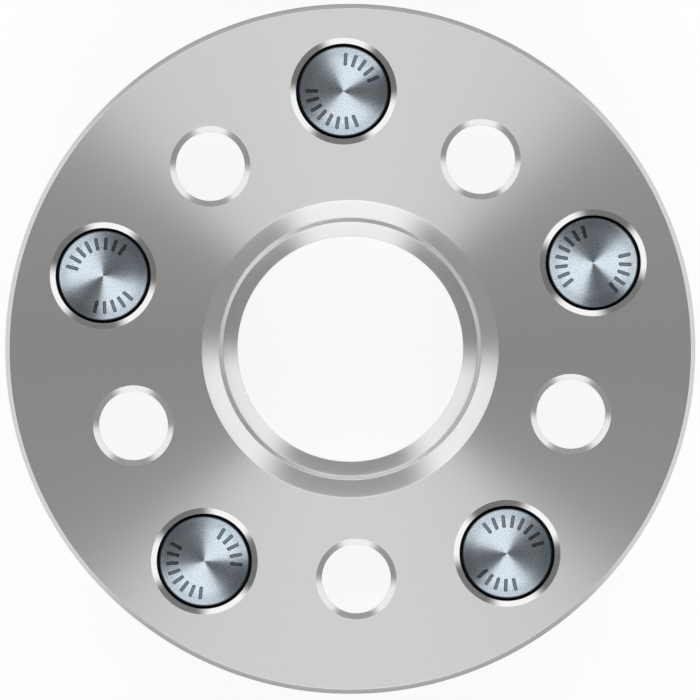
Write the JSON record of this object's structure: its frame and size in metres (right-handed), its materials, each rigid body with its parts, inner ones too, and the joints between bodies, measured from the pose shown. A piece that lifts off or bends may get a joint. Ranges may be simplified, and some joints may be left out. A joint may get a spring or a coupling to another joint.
{
  "type": "wheel spacer",
  "caption": "Round turned wheel spacer with a chamfered hub bore, a centring spigot, countersunk bolt holes and pressed-in splined studs on a larger bolt circle.",
  "frame": {"origin": "centre of the hub face, on the spacer's axis", "axes": "+Z along the spacer's axis out of the hub face, +Y from the axis towards wheel_stud_1"},
  "size_m": [0.15, 0.15, 0.05],
  "materials": {
    "machined_aluminium": "fine turned",
    "plated_steel": "turned and zinc plated"
  },
  "bodies": {
    "root": {"spacer_body": "machined_aluminium", "wheel_stud_1": "plated_steel", "wheel_stud_2": "plated_steel", "wheel_stud_3": "plated_steel", "wheel_stud_4": "plated_steel", "wheel_stud_5": "plated_steel"}
  },
  "joints": []
}
